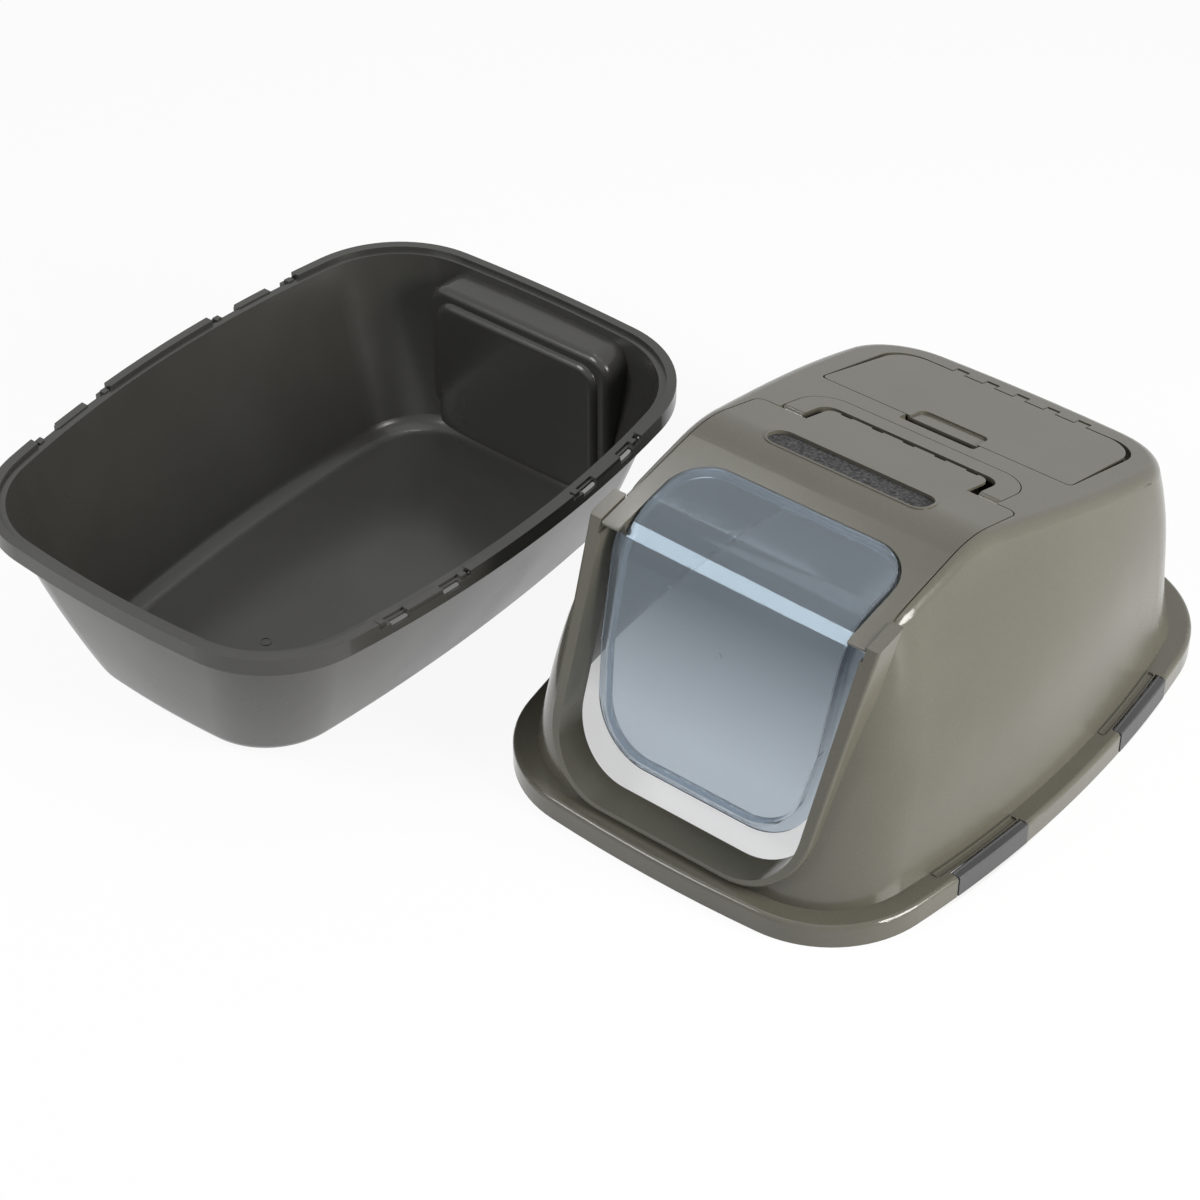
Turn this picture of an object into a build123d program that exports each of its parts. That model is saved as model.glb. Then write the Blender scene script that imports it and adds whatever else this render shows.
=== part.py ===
from build123d import *
import math
import os

# A covered litter box for a large cat, with its hood set down beside its tray.
# Millimetres, +Z up. The origin is the middle of the tray's underside, and the fronts face -Y.
# Front and rear places are Y values from the middle of the moulding that they belong to.

# Footprint that the tray rim and the hood skirt share: four bowed sides with round corners
rim_front = -328
rim_rear = 328
rim_half_front = 205
rim_half_rear = 210
rim_bow_side = 38.2
rim_bow_front = 14
rim_bow_rear = 10
rim_corner_front = 118
rim_corner_rear = 125

# Where the hood stands beside the tray
hood_x = 496
hood_y = 184

# Reach of one shape past another, so that they join or cut right through
lap = 1
half_lap = 0.5
below_floor = 80

# Tray
tray_height = 188
tray_fit = 3
tray_wall = 2.6
tray_floor = 3
tray_foot_front = -258
tray_foot_rear = 272
tray_foot_half_front = 130
tray_foot_half_rear = 141
tray_foot_bow = 16
tray_foot_corner = 82
tray_foot_round = 24
tray_waist_height = 92
tray_waist_swell = 4
band_height = 18
band_wall = 2.6
band_width = 9
ledge_width = 7
ledge_drop = 4
ledge_plate = 3
panel_half = 120
panel_top = 176
panel_foot = 20
panel_front = 267
panel_corner = 24
panel_edge = 9
panel_step = 12
panel_step_depth = 6
zone_front_start = -194
zone_front_end = -83
zone_rear_start = 64
zone_rear_end = 180
zone_drop = 6
zone_plate = 2.6
zone_piece = 42
zone_piece_rise = 3.5
zone_notch = 21
zone_notch_drop = 5
zone_tab = 7
gate_radius = 6
gate_rise = 0.6
gate_ring = 1
tray_gate_y = -121

# Hood skirt and flange
skirt_height = 24
skirt_wall = 3
skirt_round = 4.5
flange_width = 20
flange_plate = 3

# Hood body as level outlines: height, front, rear, half width, side bow and corner radius
body_wall = 3
end_bow = 9
waist_height = 100
waist_front = -286
waist_rear = 296
waist_half = 181
waist_bow = 32
waist_corner = 94
chest_height = 180
chest_front = -253
chest_rear = 289
chest_half = 171
chest_bow = 28
chest_corner = 84
shoulder_height = 235
shoulder_front = -229
shoulder_rear = 279
shoulder_half = 157
shoulder_bow = 20
shoulder_corner = 72
crown_height = 300
crown_front = -200
crown_rear = 266
crown_half = 139
crown_bow = 15
crown_corner = 56

# Roof line from front to rear
peak_y = -60
peak_z = 297
peak_radius = 120
roof_fall_front = 10
roof_fall_rear = 16.2
roof_round = 14
roof_reach = 345
roof_faces_above = 240

# Doorway and the raised frame around it, on a plane that leans back
frame_foot_y = -311
frame_foot_z = 33
frame_lean = 21.6
doorway_half_foot = 132
doorway_half_top = 144
doorway_corner = 66
doorway_tall = 310
frame_width_foot = 7
frame_width_side = 9
frame_width_top = 17
frame_depth = 34
frame_round = 3
frame_rise = 2

# Visor, the front panel of the roof
seam_gap = 1.2
part_gap = 0.3
bay_reach = 60
visor_plate = 3
visor_half = 143
visor_front = -217
visor_rear = 20
visor_corner = 9
arm_round = 2
visor_lip = 9
visor_lip_wall = 2.4
visor_lip_front = -186
cutout_gap = 3.5
tongue_half = 89
tongue_rear = 60
tongue_corner = 10
rail_width = 9
rail_plate = 3
rail_gap = 0.5
brow_wall = 2
rail_front = -176
knuckle_count = 5
knuckle_pitch = 35
knuckle_width = 13
knuckle_gap = 0.8
knuckle_radius = 4.4
visor_pin_radius = 2
visor_pin_y = 50
visor_pin_drop = 8
pin_play = 0.08
notch_depth = 2.5

# Filter window, pad and holder
window_half = 88
window_y = -37
window_wide = 31
window_corner = 13
window_ridge = 2.5
window_ridge_rise = 1
pad_margin = 6
pad_thick = 8
holder_wall = 2.4
holder_fit = 0.4
holder_bars = 7

# Door
door_wall = 2.2
door_depth = 11
door_foot_z = 57
door_lean = 14.4
door_rise = 3
door_bend_radius = 60
door_peak_radius = 110
bead_half = 121
bead_half_low = 118
bead_half_foot = 104
bead_low_z = 150
bead_corner_foot = 56
bead_rear = -110
bead_corner_top = 40
door_flange_top = 256
door_flange_half_top = 137
door_flange_half_low = 130
door_flange_half_foot = 115
door_flange_foot = 47
door_flange_corner = 66
door_axis_y = -200
door_axis_z = 260
door_pin_radius = 2.5
door_pin_length = 7
door_lug_radius = 6.5
door_lug_wall = 5
door_lug_play = 1.8
door_mark_z = 196
door_mark_radius = 3.2
door_mark_rise = 0.6

# Handle and its recess
handle_half = 120
handle_rear = 88
handle_corner = 34
handle_leg = 22
handle_bar = 22
handle_inner_corner = 15
handle_thick = 6
handle_gap = 1
handle_axis_y = 30
handle_axis_drop = 5.7
handle_boss_radius = 5.4
handle_pin_radius = 2.6
handle_pin_length = 3
recess_depth = 24
recess_wall = 3

# Lid, its bay, pull slot and storage bin
lid_front = 119
lid_rear = 254
lid_half_front = 140
lid_half_rear = 135
lid_corner_front = 6
lid_corner_rear = 34
lid_plate = 3
lid_rib = 9
lid_rib_wall = 2.2
lid_rib_gap = 1.2
lid_rail_drop = 8.4
lid_rail_width = 10
pull_half = 42
pull_front = 105
pull_depth = 12
pull_corner = 4
scoop_half = 38
scoop_rear = 143
scoop_depth = 2.4
scoop_wall = 2.2
scoop_corner = 8
lid_pin_y = 261
lid_pin_drop = 3.6
lid_pin_radius = 1.6
lid_knuckle_radius = 3.2
lid_arm_reach = 4
lid_arm_drop = 0.4
hinge_bar_drop = 9
hinge_bar_floor = 1.5
hinge_bar_width = 13
lid_slot_rear = 5.2
lid_swing_gap = 2.2
bin_wall = 2
bin_depth = 72
bin_flange = 9
bin_fit = 1
bin_corner = 26
bin_corner_front = 12
bin_flange_plate = 2

# Clips in the skirt
clip_front_start = -175
clip_front_end = -78
clip_rear_start = 82
clip_rear_end = 176
clip_gap = 0.8
clip_proud = 0.8
clip_wall = 2.8
clip_strip = 2.6
clip_low = 1
clip_top_drop = 0.5
clip_chamfer = 1.6
clip_axis_inset = 7.5
clip_axis_drop = 2
clip_barrel_radius = 2
clip_bay_inset = 10.5
clip_back_inset = 17
clip_block_inset = 16
clip_pin_radius = 1.3
clip_pin_length = 3
clip_hook = 4
clip_hook_height = 1.8
clip_hook_length = 40
clip_block = 5
clip_block_height = 9
slot_wide = 7
slot_inset = 14.5
slot_over = 13
slot_rise = 1
slot_ridge = 1.2
slot_sink = 1.4

# Values that follow from the sizes above
clip_zones = ((zone_front_start, zone_front_end), (zone_rear_start, zone_rear_end))
clip_spans = {"front": (clip_front_start, clip_front_end), "rear": (clip_rear_start, clip_rear_end)}
far = 2 * rim_rear
through = far / 4


def level(height, x=0, y=0):
    """Level plane at a height, with its origin over a moulding's middle."""
    return Plane((x, y, height))


def bowed_outline(plane, front, rear, half_front, half_rear, side_bow, front_bow, rear_bow,
                  front_corner, rear_corner):
    """Closed outline of four bowed sides, rounded at its four corners."""
    front_y = front + front_bow
    rear_y = rear - rear_bow
    half_middle = (half_front + half_rear) / 2 + side_bow
    middle_y = (front_y + rear_y) / 2
    with BuildSketch(plane) as outline:
        with BuildLine():
            ThreePointArc((-half_front, front_y), (0, front), (half_front, front_y))
            ThreePointArc((half_front, front_y), (half_middle, middle_y), (half_rear, rear_y))
            ThreePointArc((half_rear, rear_y), (0, rear), (-half_rear, rear_y))
            ThreePointArc((-half_rear, rear_y), (-half_middle, middle_y), (-half_front, front_y))
        make_face()
        fillet(outline.vertices().group_by(Axis.Y)[0], front_corner)
        fillet(outline.vertices().group_by(Axis.Y)[-1], rear_corner)
    return outline.sketch


def rim_outline(plane, inset):
    """The shared footprint, drawn in by an inset all round."""
    return bowed_outline(plane, rim_front + inset, rim_rear - inset, rim_half_front - inset,
                         rim_half_rear - inset, rim_bow_side, rim_bow_front, rim_bow_rear,
                         rim_corner_front - inset, rim_corner_rear - inset)


def rim_ring(bottom, top, outer_inset, inner_inset, x=0, y=0):
    """Upright ring between two insets of the footprint."""
    with BuildPart() as ring:
        extrude(rim_outline(level(bottom, x, y), outer_inset), amount=top - bottom)
        extrude(rim_outline(level(bottom, x, y), inner_inset), amount=top - bottom, mode=Mode.SUBTRACT)
    return ring.part


def block(x0, x1, y0, y1, z0, z1):
    """Plain block between two corners."""
    solid = Box(x1 - x0, y1 - y0, z1 - z0, mode=Mode.PRIVATE)
    return Pos((x0 + x1) / 2, (y0 + y1) / 2, (z0 + z1) / 2) * solid


def both_sides(piece, x=0):
    """A piece and its mirror image across the plane at x."""
    return [piece, mirror(piece, about=Plane.YZ.offset(x))]


# Tray


def tub(inset, bottom):
    """Solid that fills the pan, drawn in by an inset, from a bottom height up to the ledge."""
    top = tray_height - ledge_drop
    wall_top = tray_fit + band_width + ledge_width - tray_wall + inset
    waist = tray_waist_height / top
    low = (tray_foot_front + inset, tray_foot_rear - inset, tray_foot_half_front - inset,
           tray_foot_half_rear - inset, tray_foot_bow, end_bow, end_bow,
           tray_foot_corner - inset, tray_foot_corner - inset)
    high = (rim_front + wall_top, rim_rear - wall_top, rim_half_front - wall_top, rim_half_rear - wall_top,
            rim_bow_side, rim_bow_front, rim_bow_rear, rim_corner_front - wall_top, rim_corner_rear - wall_top)
    swell = (-tray_waist_swell, tray_waist_swell, tray_waist_swell, tray_waist_swell, 0, 0, 0, 0, 0)
    middle = [a + (b - a) * waist + c for a, b, c in zip(low, high, swell)]
    with BuildPart() as pan:
        loft(sections=[bowed_outline(level(bottom), *low), bowed_outline(level(tray_waist_height), *middle),
                       bowed_outline(level(top), *high)])
        fillet(pan.faces().sort_by(Axis.Z)[0].edges(), tray_foot_round - inset)
    return pan.part


def panel_step_block(step, inset, bottom):
    """One step of the block that stands in from the rear wall, drawn in by an inset."""
    half = panel_half - step * panel_step - inset
    top = panel_top - step * panel_step - inset
    front = panel_front - step * panel_step_depth + inset
    with BuildPart() as panel:
        with BuildSketch(Plane((0, front, 0), x_dir=(1, 0, 0), z_dir=(0, -1, 0))) as face:
            with Locations((0, (bottom + top) / 2)):
                Rectangle(2 * half, top - bottom)
            fillet(face.vertices().group_by(Axis.Y)[-1], panel_corner - inset)
        extrude(amount=-(far - front))
        rims = panel.faces().sort_by(Axis.Y)[0].edges()
        fillet(rims.filter_by(lambda edge: edge.center().Z > bottom + lap), panel_edge - inset)
    return panel.part


with BuildPart() as tray:
    add(tub(0, 0))
    add(panel_step_block(0, tray_wall, panel_foot), mode=Mode.SUBTRACT)
    add(panel_step_block(1, tray_wall, panel_foot), mode=Mode.SUBTRACT)
    cavity = tub(tray_wall, tray_floor) - panel_step_block(0, 0, 0) - panel_step_block(1, 0, 0)
    add(cavity, mode=Mode.SUBTRACT)
    band_inset = tray_fit + band_width
    ledge_top = tray_height - ledge_drop
    add(rim_ring(ledge_top - ledge_plate, ledge_top, band_inset - band_wall, band_inset + ledge_width))
    add(rim_ring(tray_height - band_height, tray_height, tray_fit, tray_fit + band_wall))
    add(rim_ring(tray_height - band_wall, tray_height, tray_fit, band_inset))
    add(rim_ring(ledge_top - ledge_plate, tray_height, band_inset - band_wall, band_inset))
    zone_top = tray_height - zone_drop
    for start, end in clip_zones:
        middle = (start + end) / 2
        cut = block(-far, far, start, end, zone_top, far) & rim_ring(zone_top, far, 0, band_inset)
        add(cut, mode=Mode.SUBTRACT)
        zone = block(-far, far, start - lap, end + lap, 0, far)
        add(zone & rim_ring(zone_top - zone_plate, zone_top, tray_fit, band_inset))
        for side in (-1, 1):
            notch_start = middle + side * zone_piece / 2
            notch_end = notch_start + side * zone_notch
            gap = block(-far, far, min(notch_start, notch_end), max(notch_start, notch_end),
                        zone_top - zone_notch_drop, far)
            add(gap & rim_ring(zone_top - zone_notch_drop, far, 0, band_inset - band_wall - lap),
                mode=Mode.SUBTRACT)
            tab_start = notch_end + side * zone_tab / 2
            tab = block(-far, far, min(tab_start, tab_start + side * zone_tab),
                        max(tab_start, tab_start + side * zone_tab), 0, far)
            add(tab & rim_ring(zone_top - lap, zone_top + zone_piece_rise, tray_fit + band_wall, band_inset))
        piece = block(-far, far, middle - zone_piece / 2, middle + zone_piece / 2, 0, far)
        add(piece & rim_ring(zone_top - lap, zone_top + zone_piece_rise, tray_fit + lap, band_inset))
    with BuildSketch(level(tray_floor, 0, tray_gate_y)):
        Circle(gate_radius)
        Circle(gate_radius - gate_ring, mode=Mode.SUBTRACT)
    extrude(amount=gate_rise)


# Hood


def slope(degrees):
    """Rise over run of an angle."""
    return math.tan(math.radians(degrees))


def roof_z(y):
    """Height of the roof's two straight slopes at a Y place on the hood."""
    if y < peak_y:
        return peak_z - (peak_y - y) * slope(roof_fall_front)
    return peak_z - (y - peak_y) * slope(roof_fall_rear)


def side_plane(drop=0):
    """Upright plane along the hood's middle, seen from its right side."""
    return Plane((hood_x, hood_y, -drop), x_dir=(0, 1, 0), z_dir=(1, 0, 0))


def under_roof(drop):
    """Side view of all that lies under the roof line lowered by a drop."""
    with BuildSketch(side_plane(drop)) as region:
        with BuildLine():
            Polyline((-roof_reach, -far), (roof_reach, -far), (roof_reach, roof_z(roof_reach)),
                     (peak_y, peak_z), (-roof_reach, roof_z(-roof_reach)), close=True)
        make_face()
        fillet(region.vertices().sort_by(Axis.Y)[-1], peak_radius)
    return region.sketch


def roof_slab(plan, top_drop, bottom_drop):
    """Plate of a plan shape that follows the roof between two drops."""
    with BuildPart() as slab:
        extrude(plan, amount=far)
        extrude(under_roof(top_drop), amount=far, both=True, mode=Mode.INTERSECT)
        extrude(under_roof(bottom_drop), amount=far, both=True, mode=Mode.SUBTRACT)
    return slab.part


def plan_box(x0, x1, y0, y1, front_radius=0, rear_radius=0):
    """Plan shape with corner radii, in the hood's own X and Y."""
    with BuildSketch(level(0, hood_x, hood_y)) as plan:
        with Locations(((x0 + x1) / 2, (y0 + y1) / 2)):
            Rectangle(x1 - x0, y1 - y0)
        if front_radius:
            fillet(plan.vertices().group_by(Axis.Y)[0], front_radius)
        if rear_radius:
            fillet(plan.vertices().group_by(Axis.Y)[-1], rear_radius)
    return plan.sketch


def hood_block(x0, x1, y0, y1, z0, z1):
    """Plain block in the hood's own X and Y."""
    return block(hood_x + x0, hood_x + x1, hood_y + y0, hood_y + y1, z0, z1)


def cross_pin(radius, x0, x1, y, z):
    """Round bar along X in the hood's own X and Y."""
    with BuildPart() as bar:
        with BuildSketch(Plane((hood_x + x0, hood_y + y, z), x_dir=(0, 1, 0), z_dir=(1, 0, 0))):
            Circle(radius)
        extrude(amount=x1 - x0)
    return bar.part


def hood_body(inset, bottom, drop):
    """Solid under the roof and inside the walls, drawn in by an inset."""
    levels = [(waist_height, waist_front, waist_rear, waist_half, waist_bow, waist_corner),
              (chest_height, chest_front, chest_rear, chest_half, chest_bow, chest_corner),
              (shoulder_height, shoulder_front, shoulder_rear, shoulder_half, shoulder_bow, shoulder_corner),
              (crown_height, crown_front, crown_rear, crown_half, crown_bow, crown_corner)]
    outlines = [rim_outline(level(bottom, hood_x, hood_y), flange_width + inset)]
    for height, front, rear, half, bow, corner in levels:
        outlines.append(bowed_outline(level(height, hood_x, hood_y), front + inset, rear - inset, half - inset,
                                      half - inset, bow, end_bow, end_bow, corner - inset, corner - inset))
    with BuildPart() as body:
        loft(sections=outlines)
        extrude(under_roof(drop), amount=far, both=True, mode=Mode.INTERSECT)
        top = body.faces().filter_by(lambda face: face.center().Z > roof_faces_above)
        rim = [edge for edge in body.edges() if sum(edge in face.edges() for face in top) == 1]
        fillet(rim, roof_round - inset)
    return body.part


def frame_shape(half_foot, half_top, drop, corner):
    """Outline on the leaning front plane: upright sides, an open top and two round foot corners."""
    frame_plane = Plane((hood_x, hood_y + frame_foot_y, frame_foot_z), x_dir=(1, 0, 0),
                        z_dir=(0, -math.cos(math.radians(frame_lean)), math.sin(math.radians(frame_lean))))
    with BuildSketch(frame_plane) as shape:
        with BuildLine():
            Polyline((-half_foot, -drop), (half_foot, -drop), (half_top, doorway_tall),
                     (-half_top, doorway_tall), close=True)
        make_face()
        fillet(shape.vertices().group_by(Axis.Y)[0], corner)
    return shape.sketch


def disc(radius, x0, x1, y, z):
    """Both mirrored copies of a bar along X."""
    return both_sides(cross_pin(radius, x0, x1, y, z), hood_x)


# Roof places that the hinges and pieces share
visor_pin_z = roof_z(visor_pin_y) - visor_pin_drop
handle_axis_z = roof_z(handle_axis_y) - handle_axis_drop
lid_pin_z = roof_z(lid_pin_y) - lid_pin_drop
bay_half = visor_half + seam_gap
knuckle_places = [knuckle_pitch * (i - (knuckle_count - 1) / 2) for i in range(knuckle_count)]
lug_places = [x + knuckle_pitch / 2 for x in knuckle_places[:-1]]
lug_half = (knuckle_pitch - knuckle_width) / 2 - knuckle_gap
pin_half = knuckle_places[-1] + knuckle_width
recess_half = handle_half + handle_gap
recess_front = visor_rear + seam_gap
recess_rear = handle_rear + handle_gap

outer_body = hood_body(0, skirt_height, 0)
inner_body = hood_body(body_wall, skirt_height - flange_plate - lap, body_wall)

with BuildPart() as door_frame:
    extrude(frame_shape(doorway_half_foot + frame_width_side, doorway_half_top + frame_width_top,
                        frame_width_foot, doorway_corner + frame_width_side), amount=frame_depth, dir=(0, 1, 0))
    fillet(door_frame.faces().sort_by(Axis.Y)[0].edges(), frame_round)
    extrude(frame_shape(doorway_half_foot, doorway_half_top, 0, doorway_corner), amount=frame_depth,
            dir=(0, 1, 0), mode=Mode.SUBTRACT)
    extrude(under_roof(-frame_rise), amount=far, both=True, mode=Mode.INTERSECT)

with BuildPart() as doorway:
    extrude(frame_shape(doorway_half_foot, doorway_half_top, 0, doorway_corner), amount=far, dir=(0, -1, 0))
    extrude(frame_shape(doorway_half_foot, doorway_half_top, 0, doorway_corner), amount=through,
            dir=(0, 1, 0))

visor_bay = roof_slab(plan_box(-bay_half, bay_half, -roof_reach, recess_front, 0, visor_corner + seam_gap),
                      -roof_reach, visor_lip + lap)
visor_bay = visor_bay & hood_block(-far, far, visor_front - bay_reach, far, 0, far)
visor_rails = roof_slab(plan_box(-bay_half - body_wall, bay_half + body_wall, rail_front, recess_front),
                        visor_plate + rail_gap, visor_plate + rail_gap + rail_plate)
visor_rails -= roof_slab(plan_box(-visor_half + rail_width, visor_half - rail_width, -roof_reach,
                                  recess_front + lap), 0, through)
recess_plan = plan_box(-recess_half, recess_half, recess_front - lap, recess_rear, 0, handle_corner + handle_gap)
recess_shell_plan = plan_box(-recess_half - recess_wall, recess_half + recess_wall, recess_front,
                             recess_rear + recess_wall, 0, handle_corner + handle_gap + recess_wall)
recess_shell = roof_slab(recess_shell_plan, 0, recess_depth + recess_wall)
recess_space = roof_slab(recess_plan, -through, recess_depth)
recess_brow = roof_slab(plan_box(-recess_half, recess_half, recess_front, recess_front + brow_wall),
                        visor_plate + rail_gap, recess_depth)

lid_bay = plan_box(-lid_half_front - seam_gap, lid_half_front + seam_gap, lid_front - seam_gap,
                   lid_rear + lid_swing_gap, lid_corner_front, lid_corner_rear)
lid_rail_out = plan_box(-lid_half_front - seam_gap - body_wall, lid_half_front + seam_gap + body_wall,
                        lid_front - seam_gap - body_wall, lid_rear + lid_swing_gap + body_wall,
                        lid_corner_front, lid_corner_rear)
lid_rail_in = plan_box(-lid_half_front + lid_rail_width, lid_half_front - lid_rail_width,
                       lid_front + lid_rail_width, lid_rear - lid_rail_width, lid_corner_front,
                       lid_corner_rear - lid_rail_width)
lid_frame = roof_slab(lid_rail_out, body_wall / 2, lid_rail_drop + rail_plate)
lid_frame -= roof_slab(lid_bay, -lap, lid_rail_drop)
lid_frame -= roof_slab(lid_rail_in, 0, through)
pull_cup = roof_slab(plan_box(-pull_half - body_wall, pull_half + body_wall, pull_front - body_wall,
                              lid_front - seam_gap + half_lap, pull_corner + body_wall, 0),
                     body_wall / 2, pull_depth + body_wall)
pull_space = roof_slab(plan_box(-pull_half, pull_half, pull_front, lid_front, pull_corner, 0), -lap, pull_depth)
hinge_bar = roof_slab(plan_box(-pin_half, pin_half, lid_pin_y - hinge_bar_width / 2 + lap,
                               lid_pin_y + hinge_bar_width / 2), body_wall / 2, hinge_bar_drop)

with BuildPart() as shell_blank:
    extrude(rim_outline(level(0, hood_x, hood_y), 0), amount=skirt_height)
    fillet(shell_blank.faces().sort_by(Axis.Z)[-1].edges(), skirt_round)
    add(outer_body)
    extrude(rim_outline(level(0, hood_x, hood_y), skirt_wall), amount=skirt_height - flange_plate,
            mode=Mode.SUBTRACT)
    add(inner_body, mode=Mode.SUBTRACT)
    add(door_frame.part)
    add(doorway.part, mode=Mode.SUBTRACT)
    add(visor_bay, mode=Mode.SUBTRACT)
    add(visor_rails)
    add(recess_shell)
    add(recess_space, mode=Mode.SUBTRACT)
    add(recess_brow)
    add(pull_cup)
    add(hinge_bar)
    add(roof_slab(lid_bay, -lap, lid_rail_drop), mode=Mode.SUBTRACT)
    add(lid_frame)
    add(pull_space, mode=Mode.SUBTRACT)
    for x in lug_places:
        lug = hood_block(x - lug_half, x + lug_half, visor_pin_y - knuckle_radius, visor_pin_y,
                         roof_z(visor_pin_y) - recess_depth - lap, visor_pin_z)
        add(lug + cross_pin(knuckle_radius, x - lug_half, x + lug_half, visor_pin_y, visor_pin_z))
    add(cross_pin(visor_pin_radius + pin_play, -pin_half - lap, pin_half + lap, visor_pin_y, visor_pin_z),
        mode=Mode.SUBTRACT)
    for x in knuckle_places:
        add(roof_slab(plan_box(x - knuckle_width / 2 - knuckle_gap, x + knuckle_width / 2 + knuckle_gap,
                               lid_rear - lap, lid_pin_y + lid_slot_rear), -lap, hinge_bar_drop - hinge_bar_floor),
            mode=Mode.SUBTRACT)
    add(cross_pin(lid_pin_radius + pin_play, -pin_half, pin_half, lid_pin_y, lid_pin_z), mode=Mode.SUBTRACT)
    for bar in disc(handle_pin_radius + pin_play, handle_half - lap, handle_half + handle_pin_length + half_lap,
                    handle_axis_y, handle_axis_z):
        add(bar, mode=Mode.SUBTRACT)


# Clip bays in the skirt, their blocks, and the ridged slots in the flange beside them


def clip_axis(start, end, side):
    """Ends of a clip's hinge axis, in the hood's own X and Y, on one side of the hood."""
    ends = []
    for y in (start, end):
        face = rim_face_x(y) - clip_axis_inset
        ends.append((side * face, y))
    return ends


def rim_face_x(y):
    """Half width of the footprint at a Y place along its bowed side."""
    half_chord = (rim_rear - rim_bow_rear - rim_front - rim_bow_front) / 2
    middle_y = (rim_rear - rim_bow_rear + rim_front + rim_bow_front) / 2
    radius = (half_chord ** 2 + rim_bow_side ** 2) / (2 * rim_bow_side)
    lean = (rim_half_rear - rim_half_front) / (2 * half_chord)
    middle_half = (rim_half_front + rim_half_rear) / 2 + rim_bow_side
    return middle_half + lean * (y - middle_y) - (radius - math.sqrt(radius ** 2 - (y - middle_y) ** 2))


def clip_rod(radius, start, end, side, over):
    """Round bar along a clip's axis, longer than the clip by an overhang at each end."""
    (x0, y0), (x1, y1) = clip_axis(start, end, side)
    z = skirt_height - clip_axis_drop
    run = Vector(x1 - x0, y1 - y0, 0).normalized()
    with BuildPart() as rod:
        with BuildSketch(Plane(Vector(hood_x + x0, hood_y + y0, z) - run * over, z_dir=run)):
            Circle(radius)
        extrude(amount=math.hypot(x1 - x0, y1 - y0) + 2 * over)
    return rod.part


def side_block(side, start, end, z0, z1):
    """Block that takes in one side of the hood between two Y places."""
    inner = rim_half_front - flange_width - 2 * clip_block
    outer = rim_half_rear + 2 * rim_bow_side
    return hood_block(min(side * inner, side * outer), max(side * inner, side * outer), start, end, z0, z1)


def skirt_ring(bottom, top, outer_inset, inner_inset):
    """Ring of the hood's own footprint."""
    return rim_ring(bottom, top, outer_inset, inner_inset, hood_x, hood_y)


with BuildPart() as hood_shell:
    add(shell_blank.part)
    for start, end in clip_spans.values():
        for side in (-1, 1):
            blocks = side_block(side, start - clip_gap - clip_block, end + clip_gap + clip_block,
                                skirt_height - clip_block_height, skirt_height - lap)
            add(blocks & skirt_ring(skirt_height - clip_block_height, skirt_height - lap, lap, clip_block_inset))
            bay = side_block(side, start - clip_gap, end + clip_gap, -lap, skirt_height + lap)
            add(bay & skirt_ring(-lap, skirt_height + lap, -2 * lap, clip_bay_inset), mode=Mode.SUBTRACT)
            back = side_block(side, start - clip_gap, end + clip_gap, -lap, skirt_height - flange_plate)
            add(back & skirt_ring(-lap, skirt_height - flange_plate, -2 * lap, clip_back_inset), mode=Mode.SUBTRACT)
            add(clip_rod(clip_pin_radius + pin_play, start, end, side, clip_pin_length + clip_gap + half_lap),
                mode=Mode.SUBTRACT)
            ridge = side_block(side, start - slot_over, end, skirt_height - lap, skirt_height + slot_rise)
            ridge_ring = skirt_ring(skirt_height - lap, skirt_height + slot_rise,
                                    slot_inset - slot_wide / 2 + lap, slot_inset + slot_wide / 2)
            add(ridge & ridge_ring)
            slot = side_block(side, start - slot_over + slot_ridge, end - slot_ridge, 0, skirt_height + 2 * lap)
            slot_ring = skirt_ring(skirt_height - slot_sink, skirt_height + 2 * lap, slot_inset - slot_wide / 2,
                                   slot_inset + slot_wide / 2 - slot_ridge)
            add(slot & slot_ring, mode=Mode.SUBTRACT)


def make_clip(start, end, side):
    """Swing clip that closes a bay in the skirt: face, top strip, hinge barrel, pins and hook."""
    span = side_block(side, start, end, -lap, far)
    low = clip_low
    top = skirt_height - clip_top_drop
    middle = (start + end) / 2
    with BuildPart() as clip:
        add(span & skirt_ring(low, top, -clip_proud, clip_axis_inset))
        outer_edges = clip.faces().sort_by(Axis.Z)[-1].edges().sort_by(Axis.X)
        fillet(outer_edges[-1] if side > 0 else outer_edges[0], clip_chamfer)
        add(span & skirt_ring(0, top - clip_strip, clip_wall - clip_proud, flange_width), mode=Mode.SUBTRACT)
        add(clip_rod(clip_barrel_radius, start, end, side, 0) & span)
        add(clip_rod(clip_pin_radius, start, end, side, clip_pin_length + clip_gap))
        hook = side_block(side, middle - clip_hook_length / 2, middle + clip_hook_length / 2, 0, far)
        add(hook & skirt_ring(low, low + clip_hook_height, 0, clip_wall - clip_proud + clip_hook))
    return clip.part


clips = {}
for place, (start, end) in clip_spans.items():
    for hand, side in (("right", 1), ("left", -1)):
        clips[f"clip_{place}_{hand}"] = make_clip(start, end, side)


# Visor with its arms, door lugs, filter window and rear tongue

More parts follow.
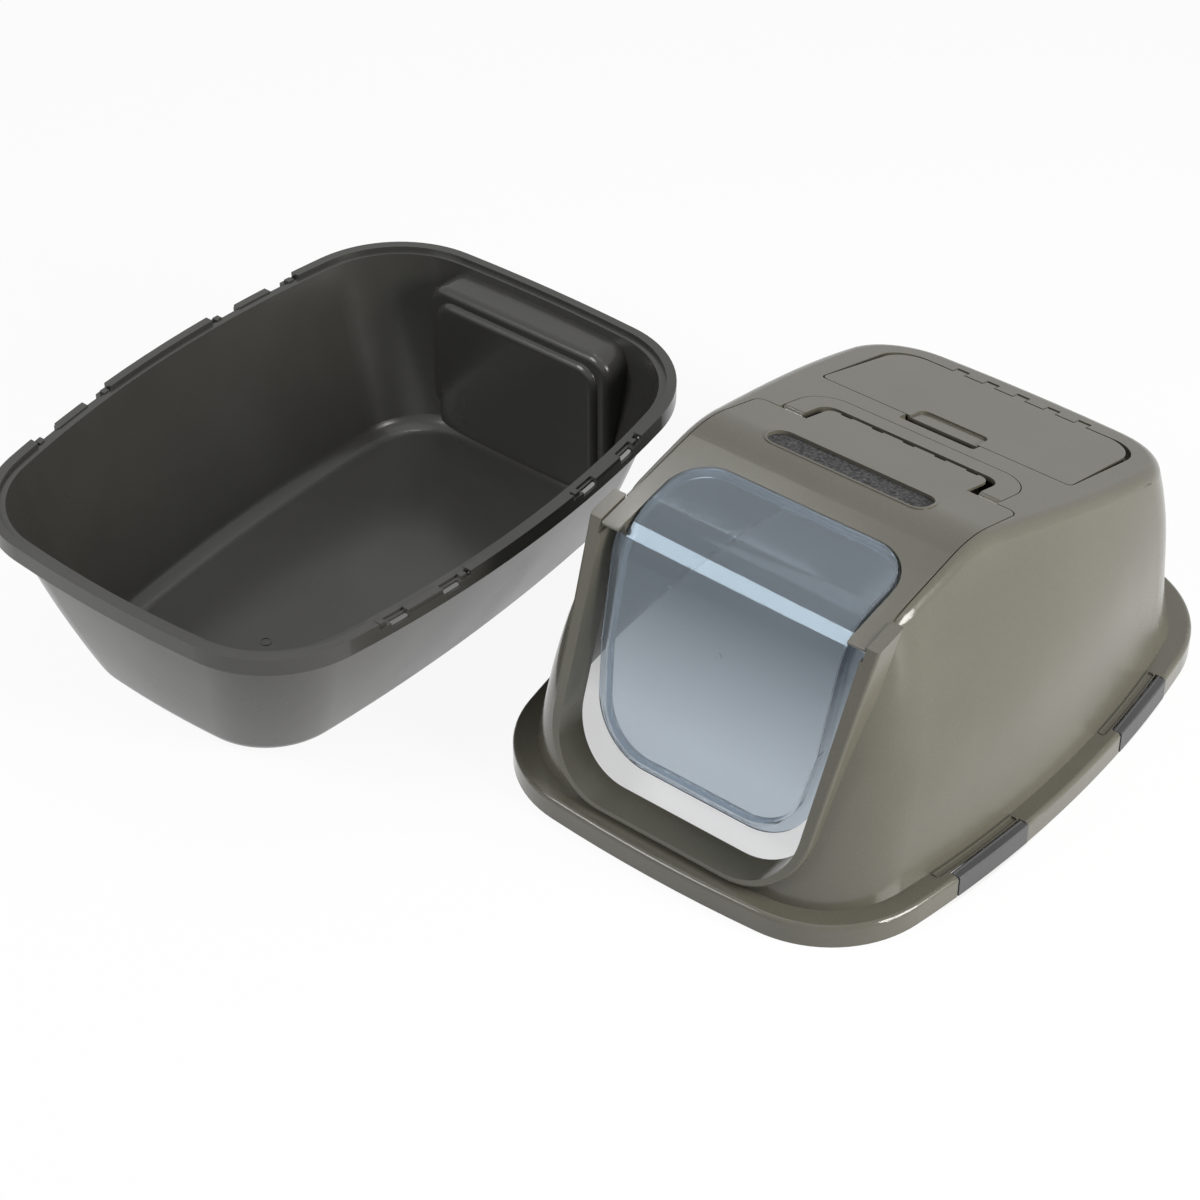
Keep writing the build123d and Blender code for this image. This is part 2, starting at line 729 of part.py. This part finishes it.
cutout_half = bead_half + cutout_gap
cutout_plan = plan_box(-cutout_half, cutout_half, -roof_reach, bead_rear + cutout_gap, 0,
                       bead_corner_top + cutout_gap)
cutout_lip_plan = plan_box(-cutout_half - visor_lip_wall, cutout_half + visor_lip_wall, visor_lip_front,
                           bead_rear + cutout_gap + visor_lip_wall, 0,
                           bead_corner_top + cutout_gap + visor_lip_wall)
visor_body_plan = plan_box(-visor_half, visor_half, visor_front, visor_rear, 0, visor_corner)
tongue_plan = plan_box(-tongue_half, tongue_half, 0, tongue_rear, 0, tongue_corner)
side_lip_plan = plan_box(visor_half - visor_lip_wall, visor_half, visor_front + visor_lip_wall,
                         visor_rear - visor_corner)
window_plan = plan_box(-window_half, window_half, window_y - window_wide / 2, window_y + window_wide / 2,
                       window_corner, window_corner)
window_rim_plan = plan_box(-window_half - window_ridge, window_half + window_ridge,
                           window_y - window_wide / 2 - window_ridge, window_y + window_wide / 2 + window_ridge,
                           window_corner + window_ridge, window_corner + window_ridge)

with BuildPart() as visor:
    add(roof_slab(visor_body_plan, 0, visor_plate))
    add(roof_slab(tongue_plan, 0, visor_plate))
    add(roof_slab(cutout_lip_plan, 0, visor_lip))
    for lip in both_sides(roof_slab(side_lip_plan, half_lap, visor_plate + part_gap), hood_x):
        add(lip)
    add(roof_slab(cutout_plan, -through, 2 * through), mode=Mode.SUBTRACT)
    add(roof_slab(window_rim_plan, -window_ridge_rise, visor_plate))
    add(roof_slab(window_plan, -through, 2 * through), mode=Mode.SUBTRACT)
    for x in knuckle_places:
        half = knuckle_width / 2
        knuckle = hood_block(x - half, x + half, visor_pin_y - knuckle_radius, visor_pin_y + knuckle_radius,
                             visor_pin_z, roof_z(visor_pin_y) - visor_plate / 2)
        add(knuckle + cross_pin(knuckle_radius, x - half, x + half, visor_pin_y, visor_pin_z))
        notch = plan_box(x - half, x + half, tongue_rear - notch_depth, tongue_rear + lap)
        add(roof_slab(notch, -lap, visor_plate + lap), mode=Mode.SUBTRACT)
    add(cross_pin(visor_pin_radius + pin_play, -pin_half, pin_half, visor_pin_y, visor_pin_z),
        mode=Mode.SUBTRACT)
    for lug in disc(door_lug_radius, cutout_half, cutout_half + door_lug_wall, door_axis_y, door_axis_z):
        add(lug)
    web = hood_block(cutout_half, cutout_half + door_lug_wall, door_axis_y - door_lug_radius,
                     door_axis_y + door_lug_radius, door_axis_z, roof_z(door_axis_y - door_lug_radius) - lap)
    for lug in both_sides(web, hood_x):
        add(lug)
    for bore in disc(door_pin_radius + pin_play, cutout_half - lap, cutout_half + door_lug_wall + lap,
                     door_axis_y, door_axis_z):
        add(bore, mode=Mode.SUBTRACT)
    arm_ends = [edge for edge in visor.edges().filter_by(Axis.X)
                if edge.center().Y < hood_y + visor_front + half_lap
                and edge.center().Z > roof_z(visor_front) - half_lap]
    fillet(arm_ends, arm_round)

visor_hinge_pin = cross_pin(visor_pin_radius, -pin_half, pin_half, visor_pin_y, visor_pin_z)
lid_hinge_pin = cross_pin(lid_pin_radius, -pin_half + lap, pin_half - lap, lid_pin_y, lid_pin_z)


# Filter pad and the cage that holds it under the window

pad_plan = plan_box(-window_half - pad_margin, window_half + pad_margin, window_y - window_wide / 2 - pad_margin,
                    window_y + window_wide / 2 + pad_margin, window_corner, window_corner)
holder_half = window_half + pad_margin + holder_fit
holder_side = window_wide / 2 + pad_margin + holder_fit
holder_space_plan = plan_box(-holder_half, holder_half, window_y - holder_side, window_y + holder_side,
                             window_corner, window_corner)
holder_plan = plan_box(-holder_half - holder_wall, holder_half + holder_wall,
                       window_y - holder_side - holder_wall, window_y + holder_side + holder_wall,
                       window_corner + holder_wall,
                       window_corner + holder_wall)
holder_top = visor_plate + part_gap
pad_bottom = holder_top + pad_thick
filter_pad = roof_slab(pad_plan, holder_top, pad_bottom)

with BuildPart() as filter_holder:
    add(roof_slab(holder_plan, holder_top, pad_bottom + holder_fit + holder_wall))
    add(roof_slab(holder_space_plan, 0, pad_bottom + holder_fit), mode=Mode.SUBTRACT)
    pitch = 2 * window_half / holder_bars
    for i in range(holder_bars):
        middle = pitch * (i - (holder_bars - 1) / 2)
        gap = plan_box(middle - pitch / 2 + holder_wall / 2, middle + pitch / 2 - holder_wall / 2,
                       window_y - window_wide / 2, window_y + window_wide / 2)
        add(roof_slab(gap, 0, through), mode=Mode.SUBTRACT)


# Door: a raised dish with a flange round its lower part, hung on two short pins

door_bend_y = door_axis_y - door_depth
door_peak_z = roof_z(peak_y) + door_rise
door_bend_z = door_peak_z - (peak_y - door_bend_y) * slope(roof_fall_front)
mark_y = door_bend_y - (door_bend_z - door_mark_z) * slope(door_lean)


def door_side(depth):
    """Side view of all that lies behind the door's face, set back by a depth."""
    with BuildSketch(side_plane()) as region:
        foot_y = door_bend_y - (door_bend_z + below_floor) * slope(door_lean)
        tail_y = through
        with BuildLine():
            Polyline((foot_y, -below_floor), (door_bend_y, door_bend_z), (peak_y, door_peak_z),
                     (tail_y, door_peak_z - (tail_y - peak_y) * slope(roof_fall_rear)),
                     (tail_y, -below_floor), close=True)
        make_face()
        fillet(region.vertices().sort_by(Axis((0, 0, 0), (-1, 1, 0)))[-1:], door_bend_radius)
        fillet(region.vertices().sort_by(Axis.Y)[-1:], door_peak_radius)
        if depth:
            offset(amount=-depth, kind=Kind.INTERSECTION, mode=Mode.REPLACE)
    return region.sketch


def front_shape(foot_half, low_half, top_half, low_z, foot_z, corner):
    """Front view of a door outline, wider above than at its foot, with round foot corners."""
    with BuildSketch(Plane((hood_x, hood_y, 0), x_dir=(1, 0, 0), z_dir=(0, -1, 0))) as shape:
        with BuildLine():
            Polyline((-foot_half, foot_z), (foot_half, foot_z), (low_half, low_z), (top_half, door_axis_z),
                     (top_half, far), (-top_half, far), (-top_half, door_axis_z), (-low_half, low_z), close=True)
        make_face()
        fillet(shape.vertices().group_by(Axis.Y)[0], corner)
    return shape.sketch


def bead_solid(inset, depth_from, depth_to):
    """Slice of the door's raised middle between two depths, drawn in by an inset."""
    with BuildPart() as middle:
        extrude(door_side(depth_from), amount=far, both=True)
        extrude(door_side(depth_to), amount=far, both=True, mode=Mode.SUBTRACT)
        extrude(front_shape(bead_half_foot - inset, bead_half_low - inset, bead_half - inset, bead_low_z,
                            door_foot_z + inset, bead_corner_foot - inset), amount=far, both=True,
                mode=Mode.INTERSECT)
        extrude(plan_box(-bead_half + inset, bead_half - inset, -roof_reach, bead_rear - inset, 0,
                         bead_corner_top - inset), amount=far, mode=Mode.INTERSECT)
    return middle.part


with BuildPart() as door_flange:
    extrude(door_side(door_depth - door_wall), amount=far, both=True)
    extrude(door_side(door_depth), amount=far, both=True, mode=Mode.SUBTRACT)
    extrude(front_shape(door_flange_half_foot, door_flange_half_low, door_flange_half_top, bead_low_z,
                        door_flange_foot, door_flange_corner), amount=far, both=True, mode=Mode.INTERSECT)
    add(hood_block(-far, far, -far, door_axis_y + door_depth, 0, door_flange_top), mode=Mode.INTERSECT)
    for clear in disc(door_lug_radius + door_lug_play, bead_half, cutout_half + door_lug_wall + door_lug_play,
                      door_axis_y, door_axis_z):
        add(clear, mode=Mode.SUBTRACT)

with BuildPart() as flap_door:
    add(bead_solid(0, 0, door_depth))
    add(door_flange.part)
    add(bead_solid(door_wall, door_wall, 3 * door_depth), mode=Mode.SUBTRACT)
    for pin in disc(door_pin_radius, bead_half - door_wall, bead_half + door_pin_length, door_axis_y, door_axis_z):
        add(pin)
    lean = math.radians(door_lean)
    door_face = Plane((hood_x, hood_y + mark_y, door_mark_z), x_dir=(1, 0, 0),
                      z_dir=(0, -math.cos(lean), math.sin(lean)))
    with BuildSketch(door_face.offset(-lap)):
        Circle(door_mark_radius)
    extrude(amount=lap + door_mark_rise)


# Handle

with BuildPart() as carry_handle:
    add(roof_slab(plan_box(-handle_half, handle_half, handle_axis_y, handle_rear, 0, handle_corner),
                  0, handle_thick))
    add(roof_slab(plan_box(-handle_half + handle_leg, handle_half - handle_leg, -roof_reach,
                           handle_rear - handle_bar, 0, handle_inner_corner), -through, through),
        mode=Mode.SUBTRACT)
    for boss in disc(handle_boss_radius, handle_half - handle_leg, handle_half, handle_axis_y, handle_axis_z):
        add(boss)
    for pin in disc(handle_pin_radius, handle_half - lap, handle_half + handle_pin_length, handle_axis_y,
                    handle_axis_z):
        add(pin)


# Lid and the storage bin under it

def lid_plan(inset):
    """Plan of the lid, drawn in by an inset."""
    with BuildSketch(level(0, hood_x, hood_y)) as plan:
        with BuildLine():
            Polyline((-lid_half_front + inset, lid_front + inset), (lid_half_front - inset, lid_front + inset),
                     (lid_half_rear - inset, lid_rear - inset), (-lid_half_rear + inset, lid_rear - inset),
                     close=True)
        make_face()
        fillet(plan.vertices().group_by(Axis.Y)[0], max(lid_corner_front - inset, lap))
        fillet(plan.vertices().group_by(Axis.Y)[-1], lid_corner_rear - inset)
    return plan.sketch


def bin_plan(inset):
    """Plan of the storage bin's opening, drawn in by an inset."""
    return plan_box(-lid_half_front + lid_rail_width + inset, lid_half_front - lid_rail_width - inset,
                    lid_front + lid_rail_width + inset, lid_rear - lid_rail_width - inset,
                    bin_corner_front, bin_corner - inset)


with BuildPart() as storage_lid:
    add(roof_slab(lid_plan(0), 0, lid_plate))
    rib = roof_slab(bin_plan(bin_fit + bin_wall + lid_rib_gap), lap, lid_plate + lid_rib)
    rib -= roof_slab(bin_plan(bin_fit + bin_wall + lid_rib_gap + lid_rib_wall), 0, through)
    add(rib)
    add(roof_slab(plan_box(-scoop_half - scoop_wall, scoop_half + scoop_wall, lid_front, scoop_rear + scoop_wall,
                           0, scoop_corner + scoop_wall), lap, scoop_depth + lid_plate))
    add(roof_slab(plan_box(-scoop_half, scoop_half, lid_front - lap, scoop_rear, 0, scoop_corner),
                  -lap, scoop_depth), mode=Mode.SUBTRACT)
    for x in knuckle_places:
        half = knuckle_width / 2
        arm = plan_box(x - half, x + half, lid_rear - lid_arm_reach, lid_pin_y)
        add(roof_slab(arm, lid_arm_drop, lid_plate))
        add(cross_pin(lid_knuckle_radius, x - half, x + half, lid_pin_y, lid_pin_z))
    add(cross_pin(lid_pin_radius + pin_play, -pin_half, pin_half, lid_pin_y, lid_pin_z), mode=Mode.SUBTRACT)


with BuildPart() as storage_bin:
    add(roof_slab(bin_plan(bin_fit), lid_rail_drop - bin_flange_plate, bin_depth))
    add(roof_slab(bin_plan(bin_fit - bin_flange), lid_rail_drop - bin_flange_plate, lid_rail_drop))
    add(roof_slab(bin_plan(bin_fit + bin_wall), 0, bin_depth - bin_wall), mode=Mode.SUBTRACT)


pieces = {
    "tray": tray.part,
    "hood_shell": hood_shell.part,
    "visor": visor.part,
    "visor_hinge_pin": visor_hinge_pin,
    "filter_pad": filter_pad,
    "filter_holder": filter_holder.part,
    "flap_door": flap_door.part,
    "carry_handle": carry_handle.part,
    "storage_lid": storage_lid.part,
    "lid_hinge_pin": lid_hinge_pin,
    "storage_bin": storage_bin.part,
    **clips,
}

os.makedirs("parts", exist_ok=True)
for name, piece in pieces.items():
    piece.label = name
    export_step(piece, f"parts/{name}.step")
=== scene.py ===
import math

import bpy
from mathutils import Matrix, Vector

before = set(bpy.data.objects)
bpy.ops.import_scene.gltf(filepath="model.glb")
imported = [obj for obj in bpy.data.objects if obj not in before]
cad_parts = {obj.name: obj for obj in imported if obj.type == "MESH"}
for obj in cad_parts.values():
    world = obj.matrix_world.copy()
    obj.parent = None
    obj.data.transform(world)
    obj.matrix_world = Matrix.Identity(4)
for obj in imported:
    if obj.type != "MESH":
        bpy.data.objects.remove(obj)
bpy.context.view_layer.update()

# A covered litter box taken apart: the tray on the left, the hood beside it on the right.
# Metres throughout, in the frame's own axes.

# Where the hood's own middle stands
HOOD = Vector((0.496, 0.184, 0))

# Camera: one long lens without roll, above and to the right of the fronts
CAMERA_FROM_HOOD = Vector((1.2382, -1.9452, 1.9704))
CAMERA_RISE = 39.0
CAMERA_TURN = 38.674
CAMERA_SENSOR = 36.0
CAMERA_REACH = 50
FOCAL_PIXELS = 3122.7
FRAME_PIXELS = 1200

# Which pieces take which finish
HOOD_PIECES = ("hood_shell", "visor", "carry_handle", "storage_lid",
               "visor_hinge_pin", "lid_hinge_pin")
INNER_PIECES = ("storage_bin", "filter_holder")
CLIPS = ("clip_front_right", "clip_rear_right", "clip_front_left", "clip_rear_left")

# Colours, linear
OLIVE_GREY = (0.112, 0.106, 0.083, 1)
OLIVE_GREY_DARK = (0.096, 0.091, 0.071, 1)
TRAY_GREY = (0.050, 0.049, 0.044, 1)
TRAY_GREY_DARK = (0.041, 0.040, 0.036, 1)
CLIP_GREY = (0.066, 0.066, 0.069, 1)
CLIP_GREY_DARK = (0.055, 0.055, 0.058, 1)
BIN_GREY = (0.085, 0.082, 0.074, 1)
# Nearly black painted shade for the pad's pores
PAD_PAINTED_SHADE = (0.006, 0.006, 0.007, 1)
PAD_FIBRE = (0.095, 0.095, 0.098, 1)
PAD_FLECK = (0.22, 0.22, 0.23, 1)
DOOR_TINT = (0.63, 0.70, 0.77, 1)
DOOR_SHEEN = (0.72, 0.88, 1.0, 1)
FLOOR_WHITE = (0.86, 0.86, 0.86, 1)
GLOW_WHITE = (1.0, 1.0, 1.0, 1)

# Moulded skin: each grain is its scale and detail, each band the noise values it spreads over
FLOW_GRAIN = (5.0, 3)
FLOW_BAND = (0.35, 0.65)
FLECK_GRAIN = (900.0, 1)
FLECK_BAND = (0.60, 0.75)
SMUDGE_GRAIN = (11.0, 4)
SMUDGE_BAND = (0.3, 0.7)
PEEL_GRAIN = (260.0, 2)
PEEL_DEPTH = 0.0004
COAT_ROUGHNESS = 0.12

# Clear door
DOOR_ROUGHNESS = 0.04
DOOR_INDEX = 1.49
DOOR_CLEARNESS = 0.88

# Filter pad: grains with their scale, detail and roughness, and where each colour sits; the darkest
# is painted shade in the pores
PAD_FIBRE_GRAIN = (300.0, 6, 0.7)
PAD_NEEDLE_GRAIN = (780.0, 3, 0.6)
PAD_PAINTED_SHADE_AT = 0.38
PAD_FIBRE_AT = 0.62
PAD_FLECK_AT = 0.74
PAD_ROUGHNESS = 0.95
PAD_BUMP = 0.9
PAD_DEPTH = 0.0012

# Floor, and the white share of it that is seen
FLOOR_SIZE = 12
FLOOR_HEIGHT = -0.0005
FLOOR_ROUGHNESS = 0.9
FLOOR_SEEN_WHITE = 0.92

# Painted shade on the floor under the resting hood: half sizes of its rounded outline and the
# outline's power, then from where to where its painted light fades behind the doorway, and its
# share at both ends
FOOTPRINT_HALF = (0.2455, 0.328)
FOOTPRINT_POWER = 3.4
FOOTPRINT_EDGE = 0.97
PAINTED_LIGHT_REACH = (-0.16, 0.02)
PAINTED_LIGHT_SHARE = (0.62, 0.02)

# Surroundings that light the object
SKY_COLOUR = (0.92, 0.95, 1.0, 1)
SKY_STRENGTH = 0.32

# Lamps: name, place, what it faces (None is straight down), size, watts and colour
PLAIN_LIGHT = (1, 1, 1)
WARM_LIGHT = (1.0, 0.98, 0.94)
LAMPS = (
    ("overhead_box", (0.3, 0.3, 2.2), (0.25, 0.1, 0.15), (1.6, 1.2), 4, PLAIN_LIGHT),
    ("right_box", (2.4, 0.35, 1.0), (0.7, 0.2, 0.15), (0.9, 1.2), 56, WARM_LIGHT),
    ("front_box", (-0.48, -1.26, 1.5), (0.5, 0.0, 0.28), (0.9, 0.8), 18, PLAIN_LIGHT),
    ("door_strip", (-0.476, 0.764, 1.886), None, (0.36, 0.06), 1.6, PLAIN_LIGHT),
)


def new_material(name):
    """New material, with its node tree and its main shader."""
    material = bpy.data.materials.new(name)
    material.use_nodes = True
    tree = material.node_tree
    return material, tree, tree.nodes["Principled BSDF"]


def group_with(name, inputs, outputs):
    """New shader group with named sockets; inputs are (name, type, value)."""
    group = bpy.data.node_groups.new(name, "ShaderNodeTree")
    for label, kind, value in inputs:
        socket = group.interface.new_socket(label, in_out="INPUT", socket_type=kind)
        socket.default_value = value
    for label, kind in outputs:
        group.interface.new_socket(label, in_out="OUTPUT", socket_type=kind)
    return group, group.nodes.new("NodeGroupInput"), group.nodes.new("NodeGroupOutput")


def fill(node, values):
    """Sets a node's inputs by name."""
    for label, value in values.items():
        node.inputs[label].default_value = value


def feed(tree, socket, source):
    """Gives a socket a number, or joins another socket to it."""
    if isinstance(source, (int, float)):
        socket.default_value = source
    else:
        tree.links.new(source, socket)


def worked(tree, operation, *terms):
    """Sum or other plain operation on numbers and value sockets."""
    node = tree.nodes.new("ShaderNodeMath")
    node.operation = operation
    for socket, term in zip(node.inputs, terms):
        feed(tree, socket, term)
    return node.outputs["Value"]


def noise(tree, place, scale, detail, roughness=0.5):
    """Soft random pattern over a place."""
    node = tree.nodes.new("ShaderNodeTexNoise")
    fill(node, {"Scale": scale, "Detail": detail, "Roughness": roughness})
    tree.links.new(place, node.inputs["Vector"])
    return node.outputs["Fac"]


def ranged(tree, value, low, high, out_low, out_high, clamp=True):
    """Value carried over from one range to another."""
    node = tree.nodes.new("ShaderNodeMapRange")
    node.clamp = clamp
    for label, source in (("From Min", low), ("From Max", high),
                          ("To Min", out_low), ("To Max", out_high), ("Value", value)):
        feed(tree, node.inputs[label], source)
    return node.outputs["Result"]


def mixed(tree, factor, colour_a, colour_b, blend="MIX"):
    """Mix of two colour sockets by a factor socket."""
    node = tree.nodes.new("ShaderNodeMix")
    node.data_type = "RGBA"
    node.blend_type = blend
    for label, source in (("Factor", factor), ("A", colour_a), ("B", colour_b)):
        tree.links.new(source, node.inputs[label])
    return node.outputs["Result"]


def raise_surface(tree, shader, height, strength, distance):
    """Fine relief of a surface from a height socket."""
    bump = tree.nodes.new("ShaderNodeBump")
    fill(bump, {"Strength": strength, "Distance": distance})
    tree.links.new(height, bump.inputs["Height"])
    tree.links.new(bump.outputs["Normal"], shader.inputs["Normal"])


def moulded_skin_group():
    """Skin of a moulded plastic: slow flow shading, fine pearl flecks, and a faint orange peel."""
    tree, given, out = group_with(
        "moulded_skin",
        [("Colour", "NodeSocketColor", OLIVE_GREY),
         ("Flow Colour", "NodeSocketColor", OLIVE_GREY_DARK),
         ("Fleck", "NodeSocketFloat", 0.1),
         ("Gloss Low", "NodeSocketFloat", 0.2),
         ("Gloss High", "NodeSocketFloat", 0.3)],
        [("Colour", "NodeSocketColor"), ("Roughness", "NodeSocketFloat"),
         ("Height", "NodeSocketFloat")])
    place = tree.nodes.new("ShaderNodeTexCoord").outputs["Object"]
    flow = ranged(tree, noise(tree, place, *FLOW_GRAIN), *FLOW_BAND, 0.0, 1.0)
    base = mixed(tree, flow, given.outputs["Colour"], given.outputs["Flow Colour"])
    fleck = ranged(tree, noise(tree, place, *FLECK_GRAIN), *FLECK_BAND, 0.0, 1.0)
    spark = worked(tree, "MULTIPLY", fleck, given.outputs["Fleck"])
    colour = mixed(tree, spark, base, base, "ADD")
    gloss = ranged(tree, noise(tree, place, *SMUDGE_GRAIN), *SMUDGE_BAND,
                   given.outputs["Gloss Low"], given.outputs["Gloss High"])
    tree.links.new(colour, out.inputs["Colour"])
    tree.links.new(gloss, out.inputs["Roughness"])
    tree.links.new(noise(tree, place, *PEEL_GRAIN), out.inputs["Height"])
    return tree


def plastic(name, skin, colour, flow_colour, fleck, gloss, peel, coat=0.0):
    """Moulded plastic with its own colours, flecks, gloss range, peel strength and coat."""
    material, tree, shader = new_material(name)
    group = tree.nodes.new("ShaderNodeGroup")
    group.node_tree = skin
    fill(group, {"Colour": colour, "Flow Colour": flow_colour, "Fleck": fleck,
                 "Gloss Low": gloss[0], "Gloss High": gloss[1]})
    tree.links.new(group.outputs["Colour"], shader.inputs["Base Color"])
    tree.links.new(group.outputs["Roughness"], shader.inputs["Roughness"])
    raise_surface(tree, shader, group.outputs["Height"], peel, PEEL_DEPTH)
    fill(shader, {"Coat Weight": coat, "Coat Roughness": COAT_ROUGHNESS})
    return material


def clear_plastic():
    """Clear door plastic with a faint cool tint."""
    material, _, shader = new_material("clear_door_plastic")
    fill(shader, {"Base Color": DOOR_TINT, "Roughness": DOOR_ROUGHNESS, "IOR": DOOR_INDEX,
                  "Specular Tint": DOOR_SHEEN, "Transmission Weight": DOOR_CLEARNESS})
    return material


def fibre_pad():
    """Needled carbon fibre felt: dark matt fibres with pale flecks, and deep pores painted nearly
    black as shade.
    """
    material, tree, shader = new_material("carbon_felt")
    place = tree.nodes.new("ShaderNodeTexCoord").outputs["Object"]
    ramp = tree.nodes.new("ShaderNodeValToRGB")
    steps = ramp.color_ramp.elements
    # Lowest step: painted shade in the pores
    steps[0].position, steps[0].color = PAD_PAINTED_SHADE_AT, PAD_PAINTED_SHADE
    steps[1].position, steps[1].color = PAD_FIBRE_AT, PAD_FIBRE
    steps.new(PAD_FLECK_AT).color = PAD_FLECK
    tree.links.new(noise(tree, place, *PAD_FIBRE_GRAIN), ramp.inputs["Fac"])
    tree.links.new(ramp.outputs["Color"], shader.inputs["Base Color"])
    raise_surface(tree, shader, noise(tree, place, *PAD_NEEDLE_GRAIN), PAD_BUMP, PAD_DEPTH)
    fill(shader, {"Roughness": PAD_ROUGHNESS})
    return material


def dress(names, material):
    """Gives carried-over pieces their finish."""
    for name in names:
        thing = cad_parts[name]
        thing.data.materials.clear()
        thing.data.materials.append(material)


def plain_sight(tree):
    """One for rays that look, reflect or pass through, and zero for rays that only light."""
    path = tree.nodes.new("ShaderNodeLightPath")
    total = path.outputs["Is Camera Ray"]
    for kind in ("Is Glossy Ray", "Is Transmission Ray"):
        total = worked(tree, "MAXIMUM", total, path.outputs[kind])
    return total


def painted_shade_under_hood(tree):
    """Share of painted light on the floor: full outside the resting hood, fading from its doorway
    back as painted shade.

    It belongs to the floor, so it stays where it is when the hood is lifted.
    """
    place = tree.nodes.new("ShaderNodeNewGeometry").outputs["Position"]
    parts = tree.nodes.new("ShaderNodeSeparateXYZ")
    tree.links.new(place, parts.inputs["Vector"])
    powers = []
    for axis, middle, half in zip("XY", HOOD, FOOTPRINT_HALF):
        shifted = ranged(tree, parts.outputs[axis], middle - half, middle + half, -1.0, 1.0,
                         clamp=False)
        size = worked(tree, "ABSOLUTE", shifted)
        powers.append(worked(tree, "POWER", size, FOOTPRINT_POWER))
    reach = worked(tree, "ADD", *powers)
    # Painted light fading from the hood's doorway to its rear
    painted_fade = ranged(tree, parts.outputs["Y"], HOOD.y + PAINTED_LIGHT_REACH[0],
                   HOOD.y + PAINTED_LIGHT_REACH[1], *PAINTED_LIGHT_SHARE)
    return ranged(tree, reach, FOOTPRINT_EDGE, 1.0, painted_fade, 1.0)


def pale_floor():
    """Floor that takes the object's shadow and is shown as nearly white where it is seen, with
    painted shade under the resting hood.
    """
    material, tree, shader = new_material("pale_floor")
    fill(shader, {"Base Color": FLOOR_WHITE, "Roughness": FLOOR_ROUGHNESS,
                  "Specular IOR Level": 0.0})
    glow = tree.nodes.new("ShaderNodeEmission")
    fill(glow, {"Color": GLOW_WHITE})
    seen = worked(tree, "MULTIPLY", plain_sight(tree), FLOOR_SEEN_WHITE)
    # The white share, dimmed under the resting hood as painted shade
    painted_white_share = worked(tree, "MULTIPLY", seen, painted_shade_under_hood(tree))
    mix = tree.nodes.new("ShaderNodeMixShader")
    tree.links.new(painted_white_share, mix.inputs["Fac"])
    tree.links.new(shader.outputs["BSDF"], mix.inputs[1])
    tree.links.new(glow.outputs["Emission"], mix.inputs[2])
    tree.links.new(mix.outputs["Shader"], tree.nodes["Material Output"].inputs["Surface"])
    return material


def build_stage():
    """Plain pale floor under the object."""
    bpy.ops.mesh.primitive_plane_add(size=FLOOR_SIZE,
                                     location=(HOOD.x / 2, HOOD.y / 2, FLOOR_HEIGHT))
    floor = bpy.context.object
    floor.name = "floor"
    floor.data.materials.append(pale_floor())


def build_world():
    """Even pale surroundings: light grey where the camera looks past the floor."""
    world = bpy.data.worlds.new("studio")
    bpy.context.scene.world = world
    world.use_nodes = True
    tree = world.node_tree
    soft = tree.nodes["Background"]
    fill(soft, {"Color": SKY_COLOUR, "Strength": SKY_STRENGTH})
    seen = tree.nodes.new("ShaderNodeBackground")
    fill(seen, {"Strength": 1.0})
    mix = tree.nodes.new("ShaderNodeMixShader")
    tree.links.new(plain_sight(tree), mix.inputs["Fac"])
    tree.links.new(soft.outputs["Background"], mix.inputs[1])
    tree.links.new(seen.outputs["Background"], mix.inputs[2])
    tree.links.new(mix.outputs["Shader"], tree.nodes["World Output"].inputs["Surface"])


def build_lamps():
    """Soft boxes above, at the right and in front, and a strip for the door's top highlight."""
    for name, place, target, size, watts, colour in LAMPS:
        data = bpy.data.lights.new(name, "AREA")
        data.shape = "RECTANGLE"
        data.size, data.size_y = size
        data.energy = watts
        data.color = colour
        lamp = bpy.data.objects.new(name, data)
        bpy.context.collection.objects.link(lamp)
        lamp.location = place
        if target is not None:
            facing = Vector(target) - Vector(place)
            lamp.rotation_euler = facing.to_track_quat("-Z", "Y").to_euler()


def build_camera():
    """Camera at the photograph's viewing angle."""
    data = bpy.data.cameras.new("camera")
    data.sensor_width = CAMERA_SENSOR
    data.lens = FOCAL_PIXELS / FRAME_PIXELS * CAMERA_SENSOR
    data.clip_end = CAMERA_REACH
    camera = bpy.data.objects.new("camera", data)
    bpy.context.collection.objects.link(camera)
    camera.location = HOOD + CAMERA_FROM_HOOD
    camera.rotation_euler = (math.radians(90 - CAMERA_RISE), 0, math.radians(CAMERA_TURN))
    bpy.context.scene.camera = camera


# Plastics: fleck strength, gloss from low to high, peel strength, and a thin coat on the large ones
skin = moulded_skin_group()
hood_plastic = plastic("hood_plastic", skin, OLIVE_GREY, OLIVE_GREY_DARK,
                       fleck=0.25, gloss=(0.16, 0.22), peel=0.06, coat=0.15)
tray_plastic = plastic("tray_plastic", skin, TRAY_GREY, TRAY_GREY_DARK,
                       fleck=0.2, gloss=(0.20, 0.28), peel=0.08, coat=0.1)
clip_plastic = plastic("clip_plastic", skin, CLIP_GREY, CLIP_GREY_DARK,
                       fleck=0.1, gloss=(0.38, 0.48), peel=0.2)
bin_plastic = plastic("bin_plastic", skin, BIN_GREY, BIN_GREY,
                      fleck=0.1, gloss=(0.35, 0.45), peel=0.2)

dress(HOOD_PIECES, hood_plastic)
dress(("tray",), tray_plastic)
dress(INNER_PIECES, bin_plastic)
dress(CLIPS, clip_plastic)
dress(("flap_door",), clear_plastic())
dress(("filter_pad",), fibre_pad())

build_stage()
build_world()
build_lamps()
build_camera()
bpy.context.scene.view_settings.view_transform = "Standard"
